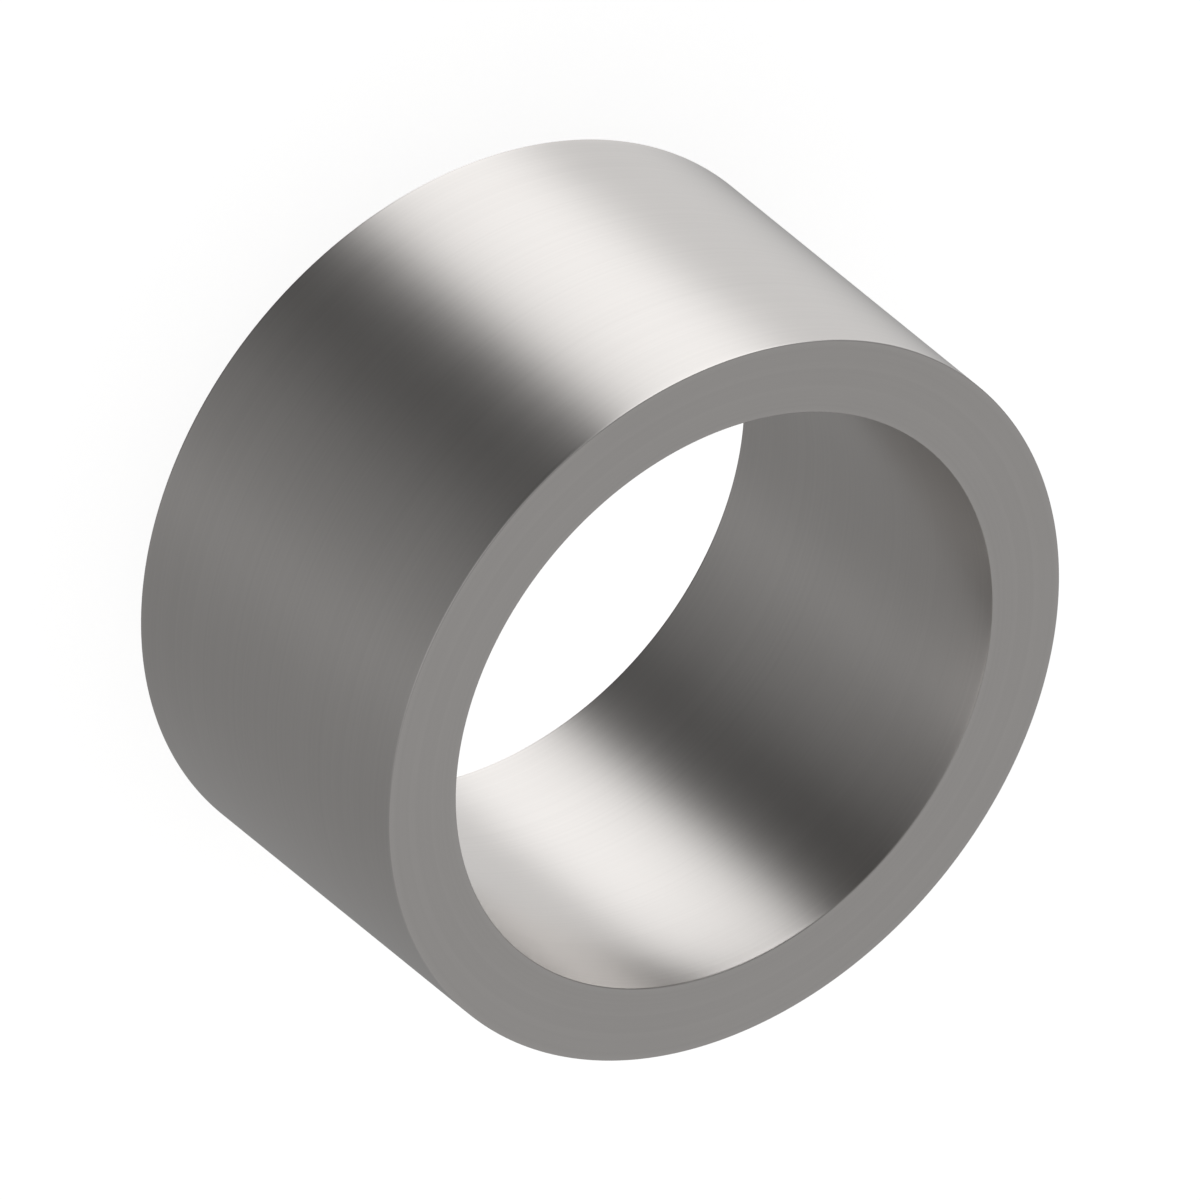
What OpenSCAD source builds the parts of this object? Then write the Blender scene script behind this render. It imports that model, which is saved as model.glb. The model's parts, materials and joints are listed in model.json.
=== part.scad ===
// Plain bushing: a short steel sleeve, turned from one piece of tube.
// Straight bore, straight outside, square end faces, and four lightly broken corners.
// Millimetres. The axis is Z, the seat face lies on Z = 0 and the origin is the middle of that face.
// The steps of the ranges are fractions of an inch, the sizes that such bushings are sold in.

/* [Bore and wall] */
// Diameter of the bore, which runs on the shaft: 1 in
bore_d = 25.4; // [12.7:1.5875:63.5]
// Thickness of the wall between the bore and the outside: 1/8 in
wall = 3.175; // [1.5875:0.79375:9.525]

/* [Length] */
// Length over the two end faces: 11/16 in
length = 17.4625; // [6.35:1.5875:63.5]

/* [Corners] */
// Chamfer that breaks each of the four sharp corners, measured along either face
edge_break = 0.05; // [0.025:0.025:0.5]

/* [Hidden] */

// Radii that the bore and the wall lead to
bore_r = bore_d / 2;
outside_r = bore_r + wall;

// Bare turned steel, a slightly warm mid grey
steel = [0.66, 0.65, 0.64];

// Sides of the drawn circles
turn_sides = 240;

// A rectangle in the radius and height plane with its four corners cut off at 45 degrees
module broken_rectangle(inner, outer, low, high, corner) {
    polygon([
        [inner + corner, low],
        [outer - corner, low],
        [outer, low + corner],
        [outer, high - corner],
        [outer - corner, high],
        [inner + corner, high],
        [inner, high - corner],
        [inner, low + corner]
    ]);
}

// The whole piece is its wall section, turned once round the axis
module bushing() {
    color(steel)
        rotate_extrude($fn = turn_sides)
            broken_rectangle(bore_r, outside_r, 0, length, edge_break);
}

bushing();
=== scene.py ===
# %% [markdown]
# A plain steel bushing, in Blender.
# The real part is the simplest thing that a lathe makes: a short sleeve with a straight bore,
# a straight outside and two square end faces. Nothing on it hides a poor surface, so this lesson
# is about three things only: a mesh whose circles are really round, a bare steel that shows how
# it was cut, and a studio that draws the same light and dark bands as the picture.
#
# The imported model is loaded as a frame, and every size of the ring comes from it.

# %% Load the frame
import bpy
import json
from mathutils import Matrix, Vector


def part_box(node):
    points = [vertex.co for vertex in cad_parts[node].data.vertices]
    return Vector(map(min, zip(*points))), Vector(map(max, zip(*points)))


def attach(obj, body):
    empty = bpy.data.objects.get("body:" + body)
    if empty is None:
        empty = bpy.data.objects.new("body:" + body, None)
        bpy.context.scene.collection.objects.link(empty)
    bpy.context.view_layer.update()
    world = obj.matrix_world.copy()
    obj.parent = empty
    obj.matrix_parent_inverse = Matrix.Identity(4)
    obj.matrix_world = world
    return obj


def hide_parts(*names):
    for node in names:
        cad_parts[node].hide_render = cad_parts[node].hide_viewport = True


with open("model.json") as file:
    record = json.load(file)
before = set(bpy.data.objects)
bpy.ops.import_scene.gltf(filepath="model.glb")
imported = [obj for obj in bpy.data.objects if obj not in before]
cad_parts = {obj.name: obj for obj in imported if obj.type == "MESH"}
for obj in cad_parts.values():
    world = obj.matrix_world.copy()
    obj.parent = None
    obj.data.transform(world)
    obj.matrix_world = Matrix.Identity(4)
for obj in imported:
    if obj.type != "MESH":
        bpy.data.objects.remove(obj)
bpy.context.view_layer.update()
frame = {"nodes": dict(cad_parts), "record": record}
print("pieces in the frame:", ", ".join(sorted(frame["nodes"])))

# %% Blender's own modules
import json
import math

import bmesh
import bpy
from mathutils import Matrix, Quaternion, Vector

scene = bpy.context.scene
scene.view_settings.view_transform = "Standard"
MM = 0.001
print("view transform:", scene.view_settings.view_transform)

# %% [markdown]
# The ring's four sizes stand in the record: the bore and the outside are mounts with a radius,
# and each mount is shorter than the ring by the two broken corners beside it.
# Reading them from there keeps this script right when the model changes.

# %% The sizes of the ring
low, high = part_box("bushing")
mounts = {mount["name"]: mount["dims"] for mount in frame["record"]["mounts"]}
bore_r = mounts["bore"]["r_mm"] * MM
outside_r = mounts["outside"]["r_mm"] * MM
height = high.z - low.z
edge_break = (height - mounts["outside"]["length_mm"] * MM) / 2
middle = Vector((0, 0, low.z + height / 2))
print(f"bore {bore_r / MM:.3f} mm, outside {outside_r / MM:.3f} mm in radius")
print(f"height {height / MM:.4f} mm, corners broken by {edge_break / MM:.3f} mm")

# %% [markdown]
# The picture is a parallel projection: the near and the far circle are equally large.
# It looks down at 44 degrees on the end face, and the picture itself is turned, so that a ring
# that stands on the table leans to the lower right. A camera turned about its own line of sight
# gives exactly that, and the ring can stay on its end, where the real one rests. The two angles
# and the picture's width were fitted to the edges in the picture by a separate program.

# %% The camera
CAMERA_ABOVE = math.radians(43.97)
CAMERA_TURN = math.radians(129.0)
CAMERA_AWAY = 300 * MM
PICTURE_WIDTH = 47.117 * MM
NEAREST_SEEN = 1 * MM
FARTHEST_SEEN = 10_000 * MM

to_camera = Vector((0, -math.cos(CAMERA_ABOVE), math.sin(CAMERA_ABOVE)))
level_look = (-to_camera).to_track_quat("-Z", "Y")
turned_look = level_look @ Quaternion((0, 0, 1), CAMERA_TURN)

camera = bpy.data.objects.new("camera", bpy.data.cameras.new("camera"))
scene.collection.objects.link(camera)
camera.data.type = "ORTHO"
camera.data.ortho_scale = PICTURE_WIDTH
camera.data.clip_start = NEAREST_SEEN
camera.data.clip_end = FARTHEST_SEEN
camera.rotation_mode = "QUATERNION"
camera.rotation_quaternion = turned_look
camera.location = middle + to_camera * CAMERA_AWAY
scene.camera = camera
print(f"the outside is {2 * outside_r / PICTURE_WIDTH:.3f} of the picture's width")

# %% [markdown]
# The wall is drawn once, as a flat outline, and then turned round the axis, just as the lathe
# turns the piece against the tool. The outline starts as four corners. Rounding them while they
# are still flat is far simpler than rounding four circles afterwards.
#
# Smooth shading blends the direction of neighbouring faces. Beside each rounded corner one more
# ring of points holds that blend to a hair's width, so the end faces stay flat to the eye.

# %% The outline of the wall
CORNER_STEPS = 6
HOLD = 0.06 * MM


def wall_outline(mesh):
    """Draws the section of the wall in the plane of X and Z, with its corners rounded."""
    corners = [
        mesh.verts.new((bore_r, 0, low.z)),
        mesh.verts.new((outside_r, 0, low.z)),
        mesh.verts.new((outside_r, 0, high.z)),
        mesh.verts.new((bore_r, 0, high.z)),
    ]
    mesh.faces.new(corners)
    bmesh.ops.bevel(
        mesh,
        geom=corners,
        offset=edge_break,
        offset_type="OFFSET",
        affect="VERTICES",
        segments=CORNER_STEPS,
        profile=0.5,
        material=-1,
    )
    bmesh.ops.delete(mesh, geom=mesh.faces[:], context="FACES_ONLY")


ring_mesh = bmesh.new()
wall_outline(ring_mesh)
print("points on the rounded outline:", len(ring_mesh.verts))

# %% Rows of points along the walls and across the end faces
WALL_ROWS = 12
FACE_ROWS = 3
Z_WAY = Vector((0, 0, 1))
X_WAY = Vector((1, 0, 0))
past_corner = edge_break + HOLD


def cut_outline(mesh, place, across):
    """Adds a point wherever a plane through place crosses the outline."""
    everything = mesh.verts[:] + mesh.edges[:]
    bmesh.ops.bisect_plane(mesh, geom=everything, plane_co=place, plane_no=across)


def row_places(start, end, rows):
    """Places from just past one corner to just short of the other, evenly spaced."""
    first = start + past_corner
    last = end - past_corner
    return [first + (last - first) * row / rows for row in range(rows + 1)]


for z in row_places(low.z, high.z, WALL_ROWS):
    cut_outline(ring_mesh, Vector((0, 0, z)), Z_WAY)
for x in row_places(bore_r, outside_r, FACE_ROWS):
    cut_outline(ring_mesh, Vector((x, 0, 0)), X_WAY)
print("points on the finished outline:", len(ring_mesh.verts))

# %% [markdown]
# The picture's own model was coarse: its circles are 48 straight sides. A turned piece has no
# such sides, so this ring gets enough steps that not even a close view finds one.

# %% Turn the outline into the ring
TURN_STEPS = 288

bmesh.ops.spin(
    ring_mesh,
    geom=ring_mesh.verts[:] + ring_mesh.edges[:],
    cent=(0, 0, 0),
    axis=(0, 0, 1),
    dvec=(0, 0, 0),
    angle=2 * math.pi,
    space=Matrix.Identity(4),
    steps=TURN_STEPS,
    use_merge=True,
    use_normal_flip=False,
    use_duplicate=False,
)
bmesh.ops.recalc_face_normals(ring_mesh, faces=ring_mesh.faces[:])
for face in ring_mesh.faces:
    face.smooth = True
open_edges = [edge for edge in ring_mesh.edges if len(edge.link_faces) != 2]
print(f"{len(ring_mesh.faces)} faces, {len(open_edges)} open edges")
print(f"steel in the ring: {ring_mesh.calc_volume(signed=True) / MM ** 3:.1f} mm3")

# %% The ring takes the place of the plain solid
ring = bpy.data.objects.new("turned_bushing", bpy.data.meshes.new("turned_bushing"))
ring_mesh.to_mesh(ring.data)
ring_mesh.free()
scene.collection.objects.link(ring)
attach(ring, "root")
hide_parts("bushing")
print("points in the ring:", len(ring.data.vertices))

# %% [markdown]
# A material is a small calculation that runs at every point of the surface. Written out as
# nodes it soon fills a screen, while the same sum takes one line of Python. So one class wraps
# an output of a node, and plain signs such as + and * on it add the Math nodes.

# %% Sums on shader sockets
class Wire:
    """An output of a node. The signs + - * on it add Math nodes."""

    def __init__(self, socket):
        self.socket = socket

    @classmethod
    def node(cls, tree, kind, settings, sockets, out=0):
        """Adds a node: its settings are set first, then the values or wires of its inputs."""
        made = tree.nodes.new(kind)
        for name, value in settings.items():
            setattr(made, name, value)
        for name, value in sockets.items():
            if isinstance(value, Wire):
                tree.links.new(value.socket, made.inputs[name])
            else:
                made.inputs[name].default_value = value
        return cls(made.outputs[out]) if made.outputs else None

    def math(self, operation, first, second=0.0):
        return Wire.node(
            self.socket.id_data,
            "ShaderNodeMath",
            {"operation": operation},
            {0: first, 1: second},
        )

    def __add__(self, other):
        return self.math("ADD", self, other)

    def __radd__(self, other):
        return self.math("ADD", other, self)

    def __sub__(self, other):
        return self.math("SUBTRACT", self, other)

    def __rsub__(self, other):
        return self.math("SUBTRACT", other, self)

    def __mul__(self, other):
        return self.math("MULTIPLY", self, other)

    def __rmul__(self, other):
        return self.math("MULTIPLY", other, self)

    def root(self):
        return self.math("SQRT", self)

    def least(self, other):
        return self.math("MINIMUM", self, other)

    def ease(self, start, end):
        """Goes smoothly from 0 to 1 while this wire goes from start to end."""
        return Wire.node(
            self.socket.id_data,
            "ShaderNodeMapRange",
            {"interpolation_type": "SMOOTHSTEP"},
            {0: self, 1: start, 2: end},
        )


WHITE = (1, 1, 1, 1)
print("signs that a wire knows: + - *, root, least and ease")

# %% [markdown]
# The studio. A smooth metal ring shows little of its own: what the eye reads as its shape is the
# room in it. In the picture it mirrors a large bright panel, a black flag close beside that, a
# pale wash from low down on the panel's other side, and a weak fill light near the camera. A pale
# ceiling at the far side gives the end face its grey. All of that is soft, and none of it is seen
# by the camera, so it is painted into the world as patches of brightness that fade out towards
# their edges. Each patch has a direction, the angle that its full part spans from its middle, and
# the angle over which it then fades. A separate fitting program moved the patches until the bands
# of the ring agreed with the picture's, and its results were rounded to plain numbers. The bright
# panel stays just below the level at which the steel would mirror it as pure white, so that no
# side of the ring loses its finish there.

# %% The patches of light, in degrees
STUDIO_LEVEL = 0.28
PATCHES = {
    "bright panel": {"compass": 292, "above": -24, "full": 22, "fade": 12, "light": 1.2},
    "pale wash": {"compass": 234, "above": -67, "full": 18, "fade": 18, "light": 0.8},
    "black flag": {"compass": 0, "above": -64, "full": 22, "fade": 15, "light": -0.24},
    "weak fill": {"compass": 28, "above": -12, "full": 2, "fade": 47, "light": 0.25},
    "far ceiling": {"compass": 150, "above": 30, "full": 28, "fade": 60, "light": 0.11},
}


def way(compass, above):
    """A direction: compass 0 is the camera's side and 90 its right, above is over the level."""
    turn = math.radians(compass)
    rise = math.radians(above)
    level = math.cos(rise)
    return Vector((math.sin(turn) * level, -math.cos(turn) * level, math.sin(rise)))


print("patches of light:", ", ".join(PATCHES))

# %% Paint the patches into the world
world = bpy.data.worlds.new("studio")
world.use_nodes = True
world.node_tree.nodes.clear()
scene.world = world
sky = world.node_tree
look = Wire.node(sky, "ShaderNodeTexCoord", {}, {})


def patch(compass, above, full, fade, light):
    """The brightness that one patch adds in the direction that is looked at."""
    towards = Wire.node(
        sky,
        "ShaderNodeVectorMath",
        {"operation": "DOT_PRODUCT"},
        {0: look, 1: way(compass, above)},
        out="Value",
    )
    rim = math.cos(math.radians(full + fade))
    core = math.cos(math.radians(full))
    return towards.ease(rim, core) * light


brightness = sum((patch(**sizes) for sizes in PATCHES.values()), STUDIO_LEVEL)
print("nodes that paint the studio:", len(sky.nodes))

# %% [markdown]
# The camera itself sees plain white, as the picture's background is. Light Path tells the rays
# that come straight from the camera from those that light the steel or are mirrored in it.

# %% Show the camera plain white
studio_light = Wire.node(
    sky, "ShaderNodeBackground", {}, {"Color": WHITE, "Strength": brightness}
)
white_air = Wire.node(sky, "ShaderNodeBackground", {}, {"Color": WHITE, "Strength": 1.0})
seen_by_camera = Wire.node(sky, "ShaderNodeLightPath", {}, {}, out="Is Camera Ray")
mixed_sky = Wire.node(
    sky, "ShaderNodeMixShader", {}, {0: seen_by_camera, 1: studio_light, 2: white_air}
)
Wire.node(sky, "ShaderNodeOutputWorld", {}, {"Surface": mixed_sky})
print("nodes in the world:", len(sky.nodes))

# %% [markdown]
# The table is a plain pale sheet. A white sheet under the ring would wash out the bands in the
# steel, and the picture's ring mirrors none, so the table is hidden from mirrored rays.

# %% The table
TABLE_R = 600 * MM
TABLE_SIDES = 64

table_mesh = bmesh.new()
bmesh.ops.create_circle(table_mesh, cap_ends=True, segments=TABLE_SIDES, radius=TABLE_R)
table = bpy.data.objects.new("table", bpy.data.meshes.new("table"))
table_mesh.to_mesh(table.data)
table_mesh.free()
scene.collection.objects.link(table)
table.visible_glossy = False
print(f"the table reaches {TABLE_R / MM:.0f} mm from the ring's axis")

# %% [markdown]
# What the camera sees of the table is two lights added together. The first is the studio's light
# that falls on it, in which the ring leaves its soft shadow. The second is a light of its own,
# which lifts the open sheet to the white of the background. Inside the ring the studio's light
# hardly arrives, and the picture is white there too, so the sheet's own light is a little
# stronger there.

# %% The sheet on the table
PALE = (0.9, 0.9, 0.9, 1)
OWN_LIGHT = 0.74
MORE_INSIDE = 0.15

paper = bpy.data.materials.new("pale_sheet")
paper.use_nodes = True
paper.node_tree.nodes.clear()
sheet = paper.node_tree
lit_part = Wire.node(sheet, "ShaderNodeBsdfDiffuse", {}, {"Color": PALE})
spot = Wire.node(sheet, "ShaderNodeTexCoord", {}, {}, out="Object")
from_middle = Wire.node(
    sheet, "ShaderNodeVectorMath", {"operation": "LENGTH"}, {0: spot}, out="Value"
)
inside = from_middle.ease(outside_r, bore_r)
to_eye = Wire.node(sheet, "ShaderNodeLightPath", {}, {}, out="Is Camera Ray")
own_strength = to_eye * (inside * MORE_INSIDE + OWN_LIGHT)
own_part = Wire.node(
    sheet, "ShaderNodeEmission", {}, {"Color": WHITE, "Strength": own_strength}
)
both = Wire.node(sheet, "ShaderNodeAddShader", {}, {0: lit_part, 1: own_part})
Wire.node(sheet, "ShaderNodeOutputMaterial", {}, {"Surface": both})
table.data.materials.append(paper)
print("nodes in the sheet:", len(sheet.nodes))

# %% [markdown]
# Bare turned steel. The tool leaves very fine rings: along the walls they follow the height, and
# across the end faces they follow the distance from the axis. A pattern that is read from just
# those two numbers is the same all the way round, and it turns the corner from the wall to the
# end face by itself, as the real cut does.

# %% Places on the ring, in millimetres
steel = bpy.data.materials.new("turned_steel")
steel.use_nodes = True
steel.node_tree.nodes.clear()
tree = steel.node_tree


def split(vector, axis):
    """One part of a vector."""
    return Wire.node(tree, "ShaderNodeSeparateXYZ", {}, {0: vector}, out=axis)


def join(x, y, z):
    """A vector of three parts."""
    return Wire.node(tree, "ShaderNodeCombineXYZ", {}, {0: x, 1: y, 2: z})


place = Wire.node(tree, "ShaderNodeTexCoord", {}, {}, out="Object")
x_mm = split(place, "X") * (1 / MM)
y_mm = split(place, "Y") * (1 / MM)
z_mm = split(place, "Z") * (1 / MM)
from_axis = (x_mm * x_mm + y_mm * y_mm).root()
round_ring = join(x_mm, y_mm, z_mm)
print("nodes that say where a point is:", len(tree.nodes))

# %% [markdown]
# The picture's steel is smooth and satin, so the marks stay faint: they are seen on a close look
# and never from a step away. A real cut is not equally deep all round, and a slow drift in the
# pattern makes each mark come and go. A second pattern, far larger than the marks, is the faint
# cloud that handling and a trace of oil leave on bare steel.

# %% The marks of the tool, and the cloud
MARKS_TO_MM = 7.0
CLOUD_TO_MM = 0.22
DRIFT_TO_MM = 0.08
DRIFT = 0.15
FINE_SHARE = 0.55
NOISE_MIDDLE = 0.5


def noise(vector, to_mm, detail):
    """A soft random pattern between 0 and 1, with to_mm features to the millimetre."""
    return Wire.node(
        tree,
        "ShaderNodeTexNoise",
        {"noise_dimensions": "3D"},
        {"Vector": vector, "Scale": to_mm, "Detail": detail, "Roughness": FINE_SHARE},
    )


drift = noise(round_ring, DRIFT_TO_MM, 1.0) * DRIFT
tool_marks = noise(join(from_axis, z_mm, drift), MARKS_TO_MM, 3.0)
cloud = noise(round_ring, CLOUD_TO_MM, 2.0)
marks_swing = tool_marks - NOISE_MIDDLE
cloud_swing = cloud - NOISE_MIDDLE
print(f"{MARKS_TO_MM:.0f} marks to the millimetre, a cloud of {1 / CLOUD_TO_MM:.1f} mm")

# %% [markdown]
# Corners that stand out are rubbed by every hand, tray and shaft that they meet. The distance to
# the nearest wall and the distance to the nearest end face are both small only along the four
# corners, so their sum finds all four at once. The cloud keeps the rubbed line uneven.

# %% The rubbed corners
RUB_WIDTH = 0.45
RUB_UNEVEN = 0.3

in_wall = (from_axis - bore_r / MM).least(outside_r / MM - from_axis)
in_height = (z_mm - low.z / MM).least(high.z / MM - z_mm)
rubbed = (in_wall + in_height + cloud_swing * RUB_UNEVEN).ease(RUB_WIDTH, 0.0)
print(f"corners are rubbed up to {RUB_WIDTH} mm from the edge")

# %% [markdown]
# The finish is three plain numbers: the colour, how much the steel blurs what it mirrors, and how
# deep the marks are. The marks, the cloud and the rubbed corners change each of them only by a
# little, because this is one clean piece of steel and not a worn one.

# %% The finish of the steel
STEEL_COLOUR = (0.660, 0.638, 0.620)
ROUGHNESS = 0.30
MARKS_DEEP = 0.0010 * MM
IN_SHADE = {"by_marks": 0.10, "by_cloud": 0.03, "by_rubbing": 0.03}
IN_ROUGHNESS = {"by_marks": 0.03, "by_cloud": 0.03, "by_rubbing": -0.015}


def varied(plain, by_marks, by_cloud, by_rubbing):
    """A plain number that the marks, the cloud and the rubbed corners change a little."""
    return plain + marks_swing * by_marks + cloud_swing * by_cloud + rubbed * by_rubbing


shade = varied(1, **IN_SHADE)
roughness = varied(ROUGHNESS, **IN_ROUGHNESS)
colour = Wire.node(
    tree,
    "ShaderNodeVectorMath",
    {"operation": "SCALE"},
    {0: STEEL_COLOUR, "Scale": shade},
    out="Vector",
)
print(f"colour {STEEL_COLOUR}, roughness {ROUGHNESS}")

# %% Put the steel together
cut_surface = Wire.node(
    tree,
    "ShaderNodeBump",
    {},
    {"Strength": 1.0, "Distance": MARKS_DEEP, "Height": tool_marks},
    out="Normal",
)
bare_metal = Wire.node(
    tree,
    "ShaderNodeBsdfPrincipled",
    {},
    {"Base Color": colour, "Metallic": 1.0, "Roughness": roughness, "Normal": cut_surface},
)
Wire.node(tree, "ShaderNodeOutputMaterial", {}, {"Surface": bare_metal})
ring.data.materials.append(steel)
print("nodes in the steel:", len(tree.nodes))
